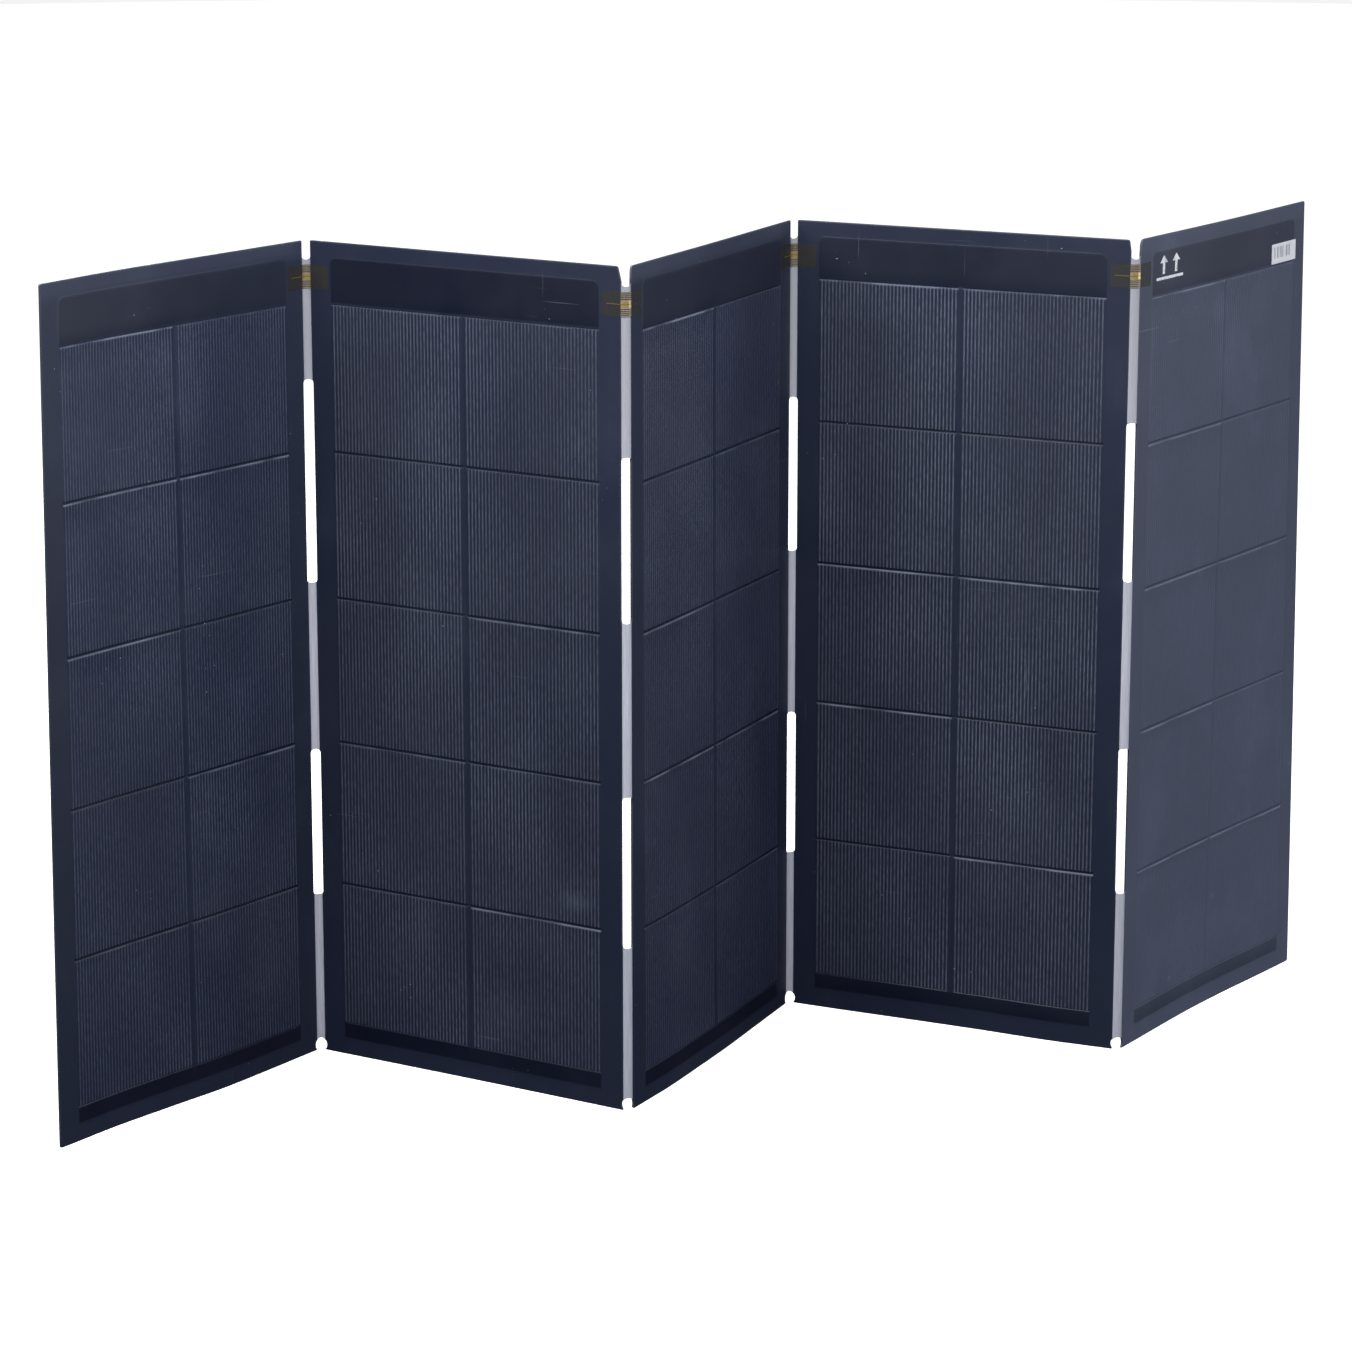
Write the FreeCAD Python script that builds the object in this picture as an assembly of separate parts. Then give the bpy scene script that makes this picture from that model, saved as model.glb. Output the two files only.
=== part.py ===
import FreeCAD, Part
import math
import os

V = FreeCAD.Vector

# A free-standing row of five laminated solar panels joined by four film hinges.
# Frame: +Z up, +X along the row, the cell side faces -Y. Millimetres.
# The rest pose is the standing zigzag.

# ---- driving dimensions ----
panel_count = 5
panel_width = 375.0
panel_height = 885.0
plain_corner = 2.5
web_width = 10.0
panel_headings = [27.0, -54.5, 38.5, -49.0, 29.0]

# Laminate, from the front face backwards.
front_sheet_thickness = 0.50
core_thickness = 0.45
back_board_thickness = 1.50

# Cells: two columns of five on each panel.
cell_width = 158.0
cell_height = 156.0
cell_corner = 1.5
cell_thickness = 0.25
column_gap = 6.0
row_pitch = 157.0
cell_columns = 2
cell_rows = 5
cells_bottoms = [36.0, 36.0, 34.0, 39.0, 37.0]
cells_left = 26.5

# Dark cover strips over the ribbons above and below the cells.
cover_thickness = 0.10
top_cover_top = 868.5
top_cover_radius = 7.0
top_cover_gap = 1.5
top_cover_width = 324.0
bottom_cover_height = 16.0
bottom_cover_gap = 1.0

# Ribbons and diodes under the cover strips.
ribbon_thickness = 0.20
ribbon_height = 6.0
ribbon_inset = 8.0
diode_size = (14.0, 0.20, 9.0)

# Film hinge: three segments between two die-cut slots and two end notches.
film_thickness = 0.25
tongue_depth = 8.0
low_film = (10.6, 177.0)
middle_film = (336.0, 521.0)
top_film_end = 868.0
top_film_starts = [737.0, 690.0, 690.0, 690.0]
slot_hollow = 1.25
foot_hollow = 2.8
head_hollow = 3.5

# The slots and the foot notches bite a little into both panels.
slot_bite = 1.1
slot_end_radius = 4.0
foot_notch_radius = 7.4
foot_notch_height = 6.0

# Corners beside each fold, before it and after it: slant across, slant down, rounding; then foot rounding.
head_corners = [((0, 0, 1.5), (0, 0, 1.5)), ((4.2, 16, 1.5), (2.0, 14, 3.0)),
                ((0, 0, 1.5), (0, 0, 1.5)), ((2.0, 12, 2.0), (2.0, 14, 6.0))]
foot_corners = [(2.0, 2.0), (0.8, 5.0), (2.0, 2.0), (1.5, 0.8)]

# Flexible circuit across each fold.
flex_height = 25.0
flex_centre_below_top = 38.0
flex_tail = 22.0
flex_thickness = 0.14
trace_thickness = 0.06
wide_trace = 7.0
thin_trace = 0.9
thin_trace_pitch = 1.9
thin_traces_per_side = 4

# Fold axes stand off the laminate's middle towards the side that closes.
axis_offset = 1.5

# Junction box on the rear of the first panel.
box_centre = (187.5, 790.0)
box_size = (86.0, 58.0)
box_depth = 17.0
box_wall = 2.0
box_corner = 6.0
flange_depth = 2.0
flange_pad = 4.0
lid_thickness = 2.4
gasket_thickness = 0.8
screw_radius = 1.6
screw_head_radius = 3.0
screw_head_height = 1.6
screw_inset = 6.5
screw_depth = 7.0
screw_slot = (4.4, 0.8, 0.7)
boss_radius = 3.2
eye_radius = 4.2
terminal_size = (44.0, 6.0, 12.0)
terminal_radius = 1.5
terminal_well_radius = 2.4
terminal_well_spacing = 24.0
socket_radius = 4.6
socket_bore = 3.5
socket_length = 16.0
socket_bore_depth = 12.0
socket_collar = 5.8
socket_nut = 5.6
socket_collar_length = 4.0
socket_inside = 4.0

# Printed decals on the fifth panel.
decal_thickness = 0.05
label_size = (59.0, 22.0)
label_place = (324.0, 834.0)
arrow_size = (16.0, 20.0)
arrow_places = [(49.0, 853.0), (75.0, 853.0)]
bar_size = (56.0, 3.0)
bar_place = (62.0, 838.5)
mark_radius = 0.8

# ---- values worked out from the driving dimensions ----
laminate = front_sheet_thickness + core_thickness + back_board_thickness
core_front = front_sheet_thickness
core_back = front_sheet_thickness + core_thickness
wire_foil_thickness = core_thickness - cell_thickness
cells_tall = (cell_rows - 1) * row_pitch + cell_height
cells_span = cell_columns * cell_width + (cell_columns - 1) * column_gap
flex_z = panel_height - flex_centre_below_top
film_front = core_back - film_thickness
film_middle = film_front + film_thickness / 2


def heading_vector(angle):
    return V(math.cos(math.radians(angle)), math.sin(math.radians(angle)), 0)


def back_normal(angle):
    return V(-math.sin(math.radians(angle)), math.cos(math.radians(angle)), 0)


def row_layout():
    """Left edge of each panel's film plane at rest, and every fold axis."""
    starts = [V(0, 0, 0)]
    axes = []
    for i in range(panel_count - 1):
        here = panel_headings[i]
        after = panel_headings[i + 1]
        side = 1 if folds_back(i) else -1
        # distance of the axis behind the laminate's front face
        depth = laminate / 2 + side * axis_offset
        edge = starts[i] + heading_vector(here) * panel_width
        axis = edge + heading_vector(here) * (web_width / 2) + back_normal(here) * depth
        left = axis + heading_vector(after) * (web_width / 2) - back_normal(after) * depth
        axes.append(axis)
        starts.append(left)
    return starts, axes


def placed(shape, start, angle):
    """Panel frame (x along the panel, y backwards, z up) to the row's frame."""
    copy = shape.copy()
    copy.rotate(V(0, 0, 0), V(0, 0, 1), angle)
    copy.translate(start)
    return copy


def block(x0, x1, y0, y1, z0, z1):
    return Part.makeBox(x1 - x0, y1 - y0, z1 - z0, V(x0, y0, z0))


def rounded_plate(x0, x1, y0, y1, z0, z1, radius, right_radius=None):
    """A plate in the panel frame, thin along y, with its corners rounded on the left and right."""
    plate = block(x0, x1, y0, y1, z0, z1)
    for end, size in ((x0, radius), (x1, right_radius or radius)):
        edges = [e for e in plate.Edges if e.BoundBox.YLength > (y1 - y0) / 2
                 and abs(e.CenterOfMass.x - end) < 1e-6]
        plate = plate.makeFillet(size, edges)
    return plate


def folds_back(fold):
    """True where a fold closes the rear faces together, so it stands out towards the viewer."""
    return panel_headings[fold + 1] > panel_headings[fold]


def film_spans(fold):
    """Lowest and highest point of the three film segments of a fold."""
    return [low_film, middle_film, (top_film_starts[fold], top_film_end)]


def slot_cuts(fold, middle):
    """The two slots and the foot notch of a fold, about a line up the middle of its gap."""
    low, centre, high = film_spans(fold)
    half = web_width / 2 + slot_bite
    cuts = []
    for z0, z1 in ((low[1], centre[0]), (centre[1], high[0])):
        cuts.append(rounded_plate(middle - half, middle + half, -1, laminate + 1, z0 - slot_hollow,
                                  z1 + slot_hollow, slot_end_radius))
    cuts.append(Part.makeCylinder(foot_notch_radius, laminate + 2, V(middle, -1, foot_notch_height),
                                  V(0, 1, 0)))
    return cuts


def panel_outline(index):
    """Corners of a panel's outline as (x, z, rounding), with slanted heads beside two of the folds."""
    plain = (0, 0, plain_corner)
    left = head_corners[index - 1][1] if index > 0 else plain
    right = head_corners[index][0] if index < panel_count - 1 else plain
    left_foot = foot_corners[index - 1][1] if index > 0 else plain_corner
    right_foot = foot_corners[index][0] if index < panel_count - 1 else plain_corner
    corners = [(0, 0, left_foot), (panel_width, 0, right_foot)]
    if right[0]:
        corners.append((panel_width, panel_height - right[1], 0))
    corners += [(panel_width - right[0], panel_height, right[2]), (left[0], panel_height, left[2])]
    if left[0]:
        corners.append((0, panel_height - left[1], 0))
    return corners


def panel_plate(index, front, back):
    """One full layer of a panel."""
    corners = panel_outline(index)
    points = [V(x, front, z) for x, z, radius in corners]
    plate = Part.Face(Part.makePolygon(points + points[:1])).extrude(V(0, back - front, 0))
    for x, z, radius in corners:
        if radius:
            edges = [e for e in plate.Edges if e.BoundBox.YLength > (back - front) / 2
                     and abs(e.CenterOfMass.x - x) < 1e-6 and abs(e.CenterOfMass.z - z) < 1e-6]
            plate = plate.makeFillet(radius, edges)
    cuts = []
    if index > 0:
        cuts += slot_cuts(index - 1, -web_width / 2)
    if index < panel_count - 1:
        cuts += slot_cuts(index, panel_width + web_width / 2)
    return cut_all(plate, cuts)


def group(shapes):
    return Part.makeCompound(shapes)


def cut_all(body, tools):
    return body.cut(group(tools)) if tools else body


# ---- pieces of one panel, in the panel frame ----
def cell_corners(index):
    for column in range(cell_columns):
        for row in range(cell_rows):
            yield (cells_left + column * (cell_width + column_gap),
                   cells_bottoms[index] + row * row_pitch)


def cells(index):
    return [rounded_plate(x, x + cell_width, core_front + wire_foil_thickness, core_back,
                          z, z + cell_height, cell_corner) for x, z in cell_corners(index)]


def wire_foils(index):
    return [rounded_plate(x, x + cell_width, core_front, core_front + wire_foil_thickness,
                          z, z + cell_height, cell_corner) for x, z in cell_corners(index)]


def cover_strips(index):
    left = cells_left + (cells_span - top_cover_width) / 2
    top_bottom = cells_bottoms[index] + cells_tall + top_cover_gap
    low_top = cells_bottoms[index] - bottom_cover_gap
    front = core_front
    back = core_front + cover_thickness
    top = rounded_plate(left, left + top_cover_width, front, back,
                        top_bottom, top_cover_top, top_cover_radius)
    low = block(cells_left, cells_left + cells_span, front, back,
                low_top - bottom_cover_height, low_top)
    return [top, low]


def ribbons(index):
    front = core_front + cover_thickness
    back = front + ribbon_thickness
    high = cells_bottoms[index] + cells_tall + top_cover_gap + ribbon_inset
    low = cells_bottoms[index] - bottom_cover_gap - ribbon_inset
    right = cells_left + cell_width + column_gap
    jumper = block(cells_left, cells_left + cells_span, front, back, low - ribbon_height / 2,
                   low + ribbon_height / 2)
    pair = [block(x, x + cell_width, front, back, high - ribbon_height / 2, high + ribbon_height / 2)
            for x in (cells_left, right)]
    return [jumper] + pair


def diodes(index):
    wide, thick, tall = diode_size
    front = core_front + cover_thickness
    base = cells_bottoms[index] + cells_tall + top_cover_gap + ribbon_inset + ribbon_height
    middles = [cells_left + cell_width / 2, cells_left + cells_span - cell_width / 2]
    return [block(x - wide / 2, x + wide / 2, front, front + thick, base, base + tall) for x in middles]


def film_tongues(fold, at_left):
    x0, x1 = (0, tongue_depth) if at_left else (panel_width - tongue_depth, panel_width)
    return [block(x0, x1, film_front, core_back, z0, z1) for z0, z1 in film_spans(fold)]


def trace_heights():
    """Height and width of every trace of the flexible circuit."""
    traces = [(flex_z, wide_trace)]
    for side in (-1, 1):
        for i in range(thin_traces_per_side):
            offset = wide_trace / 2 + thin_trace_pitch * (i + 0.8)
            traces.append((flex_z + side * offset, thin_trace))
    return traces


def flex_tail_block(at_left):
    x0, x1 = (0, flex_tail) if at_left else (panel_width - flex_tail, panel_width)
    back = film_front
    return block(x0, x1, back - flex_thickness, back, flex_z - flex_height / 2, flex_z + flex_height / 2)


def trace_tails(at_left):
    x0, x1 = (0, flex_tail - 2) if at_left else (panel_width - flex_tail + 2, panel_width)
    back = film_front - flex_thickness
    return [block(x0, x1, back - trace_thickness, back, z - w / 2, z + w / 2)
            for z, w in trace_heights()]


def panel_pieces(index):
    sheet = panel_plate(index, 0, core_front)
    core = panel_plate(index, core_front, core_back)
    board = panel_plate(index, core_back, laminate)
    inner = cells(index) + wire_foils(index) + ribbons(index) + diodes(index)
    tails = []
    for at_left in (True, False):
        fold = index - 1 if at_left else index
        if 0 <= fold < panel_count - 1:
            inner += film_tongues(fold, at_left)
            tails += [flex_tail_block(at_left)] + trace_tails(at_left)
    covers = [cut_all(strip, tails) for strip in cover_strips(index)]
    bars = [cut_all(bar, tails) for bar in ribbons(index)]
    core = cut_all(core, inner + tails + covers)
    return {
        "front_sheet": [sheet],
        "encapsulant": core.Solids,
        "cells": cells(index),
        "wire_foils": wire_foils(index),
        "busbar_ribbons": bars,
        "bypass_diodes": diodes(index),
        "cover_strips": covers,
        "back_board": [board],
    }


# ---- pieces that cross a fold, in the row's frame ----
def bend_band(near, near_angle, far, far_angle, tail, depth, thickness, z0, z1, hollows=None):
    """A strip that leaves one panel, bends round the fold and enters the next.

    near and far are the panels' front edges at the fold, depth is the strip's middle
    behind the front face, and tail is how far it runs inside each panel. hollows are how
    far its lower and upper ends are cut in at the middle of the gap.
    """
    h0, n0 = heading_vector(near_angle), back_normal(near_angle)
    h1, n1 = heading_vector(far_angle), back_normal(far_angle)

    def side(level):
        a = near + n0 * level
        b = far + n1 * level
        turn = math.radians(abs(far_angle - near_angle))
        reach = (b - a).Length / (2 * math.cos(turn / 2))
        corner = a + h0 * reach
        radius = reach / math.tan(turn / 2)
        inward = (h1 - h0)
        inward.normalize()
        centre = corner + inward * math.hypot(reach, radius)
        crown = centre - inward * radius
        return a, b, crown

    a0, b0, m0 = side(depth - thickness / 2)
    a1, b1, m1 = side(depth + thickness / 2)
    edges = [
        Part.LineSegment(a0 - h0 * tail, a0), Part.Arc(a0, m0, b0), Part.LineSegment(b0, b0 + h1 * tail),
        Part.LineSegment(b0 + h1 * tail, b1 + h1 * tail),
        Part.LineSegment(b1 + h1 * tail, b1), Part.Arc(b1, m1, a1), Part.LineSegment(a1, a1 - h0 * tail),
        Part.LineSegment(a1 - h0 * tail, a0 - h0 * tail),
    ]
    wire = Part.Wire([e.toShape() for e in edges])
    band = Part.Face(wire).extrude(V(0, 0, z1 - z0))
    band.translate(V(0, 0, z0))
    if not hollows:
        return band
    chord = b0 - a0
    half = chord.Length / 2
    across = V(-chord.y, chord.x, 0)
    across.normalize()
    start = (a0 + b0) / 2 - across * half * 4
    notches = []
    for end, hollow, way in ((z0, hollows[0], 1), (z1, hollows[1], -1)):
        radius = (half ** 2 + hollow ** 2) / (2 * hollow)
        notches.append(Part.makeCylinder(radius, half * 8,
                                         V(start.x, start.y, end + way * (hollow - radius)), across))
    return cut_all(band, notches)


def fold_pieces(index, starts):
    near_angle, far_angle = panel_headings[index], panel_headings[index + 1]
    near = starts[index] + heading_vector(near_angle) * panel_width
    far = starts[index + 1]
    hollows = [(foot_hollow, slot_hollow), (slot_hollow, slot_hollow), (slot_hollow, head_hollow)]
    film = [bend_band(near, near_angle, far, far_angle, tongue_depth, film_middle, film_thickness,
                      z0, z1, ends) for (z0, z1), ends in zip(film_spans(index), hollows)]
    flex_middle = film_front - flex_thickness / 2
    flex = bend_band(near, near_angle, far, far_angle, flex_tail, flex_middle, flex_thickness,
                     flex_z - flex_height / 2, flex_z + flex_height / 2)
    trace_middle = film_front - flex_thickness - trace_thickness / 2
    copper = [bend_band(near, near_angle, far, far_angle, flex_tail - 2, trace_middle, trace_thickness,
                        z - w / 2, z + w / 2) for z, w in trace_heights()]
    return {"hinge_film": film, "flex_circuit": [flex], "flex_copper": copper}


# ---- junction box, in the first panel's frame ----
def screw_places():
    cx, cz = box_centre
    dx = box_size[0] / 2 - screw_inset
    dz = box_size[1] / 2 - screw_inset
    return [(cx + sx * dx, cz + sz * dz) for sx in (-1, 1) for sz in (-1, 1)]


def across_panel(radius, y0, y1, x, z):
    return Part.makeCylinder(radius, y1 - y0, V(x, y0, z), V(0, 1, 0))


def socket_centre():
    """Middle of the output socket's bore."""
    cx, cz = box_centre
    base_back = laminate + box_depth - lid_thickness - gasket_thickness
    mouth = cz - box_size[1] / 2 + socket_inside - socket_length
    return V(cx, (laminate + flange_depth + base_back) / 2, mouth + socket_bore_depth / 2)


def junction_box():
    cx, cz = box_centre
    w, h = box_size
    rear = laminate
    top = rear + box_depth - lid_thickness - gasket_thickness
    x0, x1, z0, z1 = cx - w / 2, cx + w / 2, cz - h / 2, cz + h / 2
    flange = rounded_plate(x0 - flange_pad, x1 + flange_pad, rear, rear + flange_depth,
                           z0 - flange_pad, z1 + flange_pad, box_corner + flange_pad)
    shell = rounded_plate(x0, x1, rear, top, z0, z1, box_corner)
    base = flange.fuse(shell).removeSplitter()
    hollow = rounded_plate(x0 + box_wall, x1 - box_wall, rear + flange_depth, top + 1,
                           z0 + box_wall, z1 - box_wall, box_corner - box_wall)
    bosses = [across_panel(boss_radius, rear + flange_depth, top, x, z) for x, z in screw_places()]
    base = base.cut(hollow).fuse(bosses).removeSplitter()
    holes = [across_panel(screw_radius, top - screw_depth, top + 1, x, z) for x, z in screw_places()]
    socket_y = (rear + flange_depth + top) / 2
    port = Part.makeCylinder(socket_radius, 20, V(cx, socket_y, z0 - 10), V(0, 0, 1))
    base = cut_all(base, holes + [port])

    lid_back = rear + box_depth
    lid = rounded_plate(x0, x1, lid_back - lid_thickness, lid_back, z0, z1, box_corner)
    lid = cut_all(lid, [across_panel(screw_radius, rear, lid_back + 1, x, z) for x, z in screw_places()]
                  + [across_panel(screw_head_radius, lid_back - screw_head_height, lid_back + 1, x, z)
                     for x, z in screw_places()])
    ring = rounded_plate(x0, x1, top, top + gasket_thickness, z0, z1, box_corner)
    opening = rounded_plate(x0 + box_wall, x1 - box_wall, top - 1, top + 2,
                            z0 + box_wall, z1 - box_wall, box_corner - box_wall)
    eyes = [across_panel(eye_radius, top, top + gasket_thickness, x, z) for x, z in screw_places()]
    gasket = ring.cut(opening).fuse(eyes).removeSplitter()
    gasket = gasket.common(ring)
    gasket = cut_all(gasket, [across_panel(screw_radius, rear, lid_back, x, z) for x, z in screw_places()])

    screws = []
    for x, z in screw_places():
        head = across_panel(screw_head_radius, lid_back - screw_head_height, lid_back, x, z)
        shank = across_panel(screw_radius, top - screw_depth, lid_back - screw_head_height, x, z)
        long, narrow = screw_slot[0] / 2, screw_slot[1] / 2
        floor = lid_back - screw_slot[2]
        slot = block(x - long, x + long, floor, lid_back + 1, z - narrow, z + narrow)
        cross = block(x - narrow, x + narrow, floor, lid_back + 1, z - long, z + long)
        screws.append(head.fuse(shank).removeSplitter().cut(slot.fuse(cross)))

    # Output socket: a blind barrel through the lower wall, a collar outside it and a nut inside.
    mouth = z0 + socket_inside - socket_length
    up = V(0, 0, 1)
    barrel = Part.makeCylinder(socket_radius, socket_length, V(cx, socket_y, mouth), up)
    collar = Part.makeCylinder(socket_collar, socket_collar_length,
                               V(cx, socket_y, z0 - socket_collar_length), up)
    nut = Part.makeCylinder(socket_nut, socket_inside - box_wall,
                            V(cx, socket_y, z0 + box_wall), up)
    bore = Part.makeCylinder(socket_bore, socket_bore_depth, V(cx, socket_y, mouth), up)
    socket = barrel.fuse([collar, nut]).removeSplitter().cut(bore)

    # Terminal block: a moulded bar with two clamp screws' wells.
    wide, thick, tall = terminal_size
    seat = rear + flange_depth
    low = cz + 2
    bar = rounded_plate(cx - wide / 2, cx + wide / 2, seat, seat + thick, low, low + tall,
                        terminal_radius)
    wells = [across_panel(terminal_well_radius, seat + 2, seat + thick + 1,
                          cx + s * terminal_well_spacing / 2, low + tall / 2) for s in (-1, 1)]
    terminal = cut_all(bar, wells)
    return {"junction_box": [base], "junction_box_lid": [lid], "lid_gasket": [gasket],
            "lid_screws": screws, "output_socket": [socket], "terminal_block": [terminal]}


# ---- printed decals on the fifth panel, in its frame ----
def decals():
    def plate(cx, cz, w, h):
        return rounded_plate(cx - w / 2, cx + w / 2, -decal_thickness, 0, cz - h / 2, cz + h / 2,
                             mark_radius)

    def arrow(cx, cz):
        w, h = arrow_size
        stem = w * 0.3
        neck = cz + h * 0.1
        outline = [V(cx - stem / 2, 0, cz - h / 2), V(cx + stem / 2, 0, cz - h / 2),
                   V(cx + stem / 2, 0, neck), V(cx + w / 2, 0, neck), V(cx, 0, cz + h / 2),
                   V(cx - w / 2, 0, neck), V(cx - stem / 2, 0, neck)]
        face = Part.Face(Part.makePolygon(outline + outline[:1]))
        return face.extrude(V(0, -decal_thickness, 0))

    marks = [arrow(x, z) for x, z in arrow_places]
    marks.append(plate(*bar_place, *bar_size))
    return {"label": [plate(*label_place, *label_size)], "up_marks": marks}


def export(name, shapes):
    shape = shapes[0] if len(shapes) == 1 else group(shapes)
    for solid in shape.Solids:
        if not solid.isValid() or solid.Volume <= 0:
            print("check", name, solid.isValid(), solid.Volume)
    shape.exportStep("parts/" + name + ".step")
    return shape


def main():
    os.makedirs("parts", exist_ok=True)
    starts, axes = row_layout()
    nodes = {}
    for i in range(panel_count):
        for name, shapes in panel_pieces(i).items():
            nodes[name + "_" + str(i + 1)] = [placed(s, starts[i], panel_headings[i]) for s in shapes]
    for extra, i in ((junction_box(), 0), (decals(), panel_count - 1)):
        for name, shapes in extra.items():
            nodes[name] = [placed(s, starts[i], panel_headings[i]) for s in shapes]
    for i in range(panel_count - 1):
        for name, shapes in fold_pieces(i, starts).items():
            nodes[name + "_" + str(i + 1)] = shapes

    # The origin is the middle of the row's footprint, on the ground.
    box = group([s for shapes in nodes.values() for s in shapes]).BoundBox
    shift = V(-box.Center.x, -box.Center.y, 0)
    for name, shapes in nodes.items():
        export(name, [s.translated(shift) for s in shapes])

    for i, axis in enumerate(axes):
        place = axis + shift
        print("fold", i + 1, "axis", round(place.x, 3), round(place.y, 3),
              "turn", panel_headings[i + 1] - panel_headings[i])
    rear = starts[2] + shift + heading_vector(panel_headings[2]) * (panel_width / 2)
    rear += back_normal(panel_headings[2]) * laminate
    foot = rear - back_normal(panel_headings[2]) * (back_board_thickness / 2)
    print("rear face of the middle panel", round(rear.x, 3), round(rear.y, 3))
    print("standing point", round(foot.x, 3), round(foot.y, 3))
    socket = placed(Part.Vertex(socket_centre()), starts[0] + shift, panel_headings[0]).Point
    print("socket bore", [round(v, 3) for v in socket])
    print(len(nodes), "nodes, size", [round(v, 2) for v in (box.XLength, box.YLength, box.ZLength)])


main()
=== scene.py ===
import bpy
import bmesh
import math
import random
from mathutils import Matrix, Vector, noise


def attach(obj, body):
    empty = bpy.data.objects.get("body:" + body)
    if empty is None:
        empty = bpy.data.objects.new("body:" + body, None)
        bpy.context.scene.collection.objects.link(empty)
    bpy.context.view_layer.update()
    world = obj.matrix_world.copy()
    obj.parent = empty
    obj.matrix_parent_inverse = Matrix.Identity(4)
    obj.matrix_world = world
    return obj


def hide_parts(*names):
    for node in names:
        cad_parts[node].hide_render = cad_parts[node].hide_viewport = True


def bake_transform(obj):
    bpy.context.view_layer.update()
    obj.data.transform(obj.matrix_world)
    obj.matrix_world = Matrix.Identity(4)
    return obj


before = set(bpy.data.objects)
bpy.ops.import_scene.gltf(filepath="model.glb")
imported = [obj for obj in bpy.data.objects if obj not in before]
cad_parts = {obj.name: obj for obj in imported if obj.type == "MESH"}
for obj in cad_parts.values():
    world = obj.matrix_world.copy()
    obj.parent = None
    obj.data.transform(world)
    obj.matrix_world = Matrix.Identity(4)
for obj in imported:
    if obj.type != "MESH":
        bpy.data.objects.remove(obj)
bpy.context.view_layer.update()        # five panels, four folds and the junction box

upward = Vector((0, 0, 1))
panelCount = 5
mm = .001

# The panel's plan in metres, x from its left edge and z from the ground. Rise is towards the viewer.
panel = {
    "width": .375, "height": .885, "plainCorner": .0025,
    "skinBack": .0005,
    "cellsLeft": .0265, "cellsBottom": {1: .036, 2: .036, 3: .034, 4: .039, 5: .037},
    "cellWidth": .158, "cellHeight": .156,
    "columnGap": .006, "rowPitch": .157,
    "columns": 2, "rows": 5,
}

# Beside each fold, before it and after it: head slant across and down, head rounding, foot rounding.
foldCorners = {
    1: ((0, .001, .0015, .002), (0, .001, .0015, .002)),
    2: ((.0042, .016, .0015, .0008), (.0020, .014, .0030, .005)),
    3: ((0, .001, .0015, .002), (0, .001, .0015, .002)),
    4: ((.0020, .012, .0020, .0015), (.0020, .014, .0060, .0008)),
}
slots = {        # die-cut between the film's segments, biting a little into both panels
    "web": .010, "bite": .0011, "endRadius": .004, "hollow": .00125,
    "notchRadius": .0074, "notchHeight": .0060,
    "low": (.177, .336), "highStart": .521, "highEnd": (.737, .690, .690, .690),
}

# How each thin laminate has sprung out of flat, in millimetres, backwards positive.
# foot: at even steps along the lower edge. freeTop and freeFoot: the row's two outer corners.
warps = {
    1: {"foot": (0, 3.0, .6, -3.4, -2.4, 0), "head": 0, "freeTop": -8.5, "freeFoot": 3.0},
    2: {"foot": (0, .4, .6, .8, .5, 0), "head": -.4, "freeTop": 0, "freeFoot": 0},
    3: {"foot": (0, -4.0, -4.6, -4.2, -2.0, 0), "head": -1.0, "freeTop": 0, "freeFoot": 0},
    4: {"foot": (0, -.4, .2, -.3, -2.2, 0), "head": -.3, "freeTop": 0, "freeFoot": 0},
    5: {"foot": (0, 1.9, 3.8, 3.4, 1.0, 0), "head": -1.2, "freeTop": 5.0, "freeFoot": -5.0},
}
boxHold = {"x": .1875, "z": .790, "halfWide": .048, "halfTall": .034, "fade": .05}


def panelMatrix(number):        # from a panel's own plan to the row's frame
    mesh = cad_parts["front_sheet_%d" % number].data
    face = max((f for f in mesh.polygons if f.normal.y < 0), key=lambda f: f.area)
    back = Vector((-face.normal.x, -face.normal.y, 0)).normalized()
    along = Vector((back.y, -back.x, 0))
    left = min(v.co.dot(along) for v in mesh.vertices)
    front = min(v.co.dot(back) for v in mesh.vertices)
    matrix = Matrix((along, back, upward)).transposed().to_4x4()
    matrix.translation = along * left + back * front
    return matrix


panelPlaces = {number: panelMatrix(number) for number in range(1, panelCount + 1)}


def smoothStep(low, high, value):
    share = min(max((value - low) / (high - low), 0), 1)
    return share * share * (3 - 2 * share)


def throughSteps(values, share):        # a smooth line through evenly spaced values
    count = len(values) - 1
    step = min(int(share * count), count - 1)
    t = share * count - step
    before, after = values[max(step - 1, 0)], values[min(step + 2, count)]
    low, high = values[step], values[step + 1]
    slopeLow, slopeHigh = (high - before) / 2, (after - low) / 2
    return ((2 * t ** 3 - 3 * t ** 2 + 1) * low + (t ** 3 - 2 * t ** 2 + t) * slopeLow
            + (3 * t ** 2 - 2 * t ** 3) * high + (t ** 3 - t ** 2) * slopeHigh)


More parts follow.
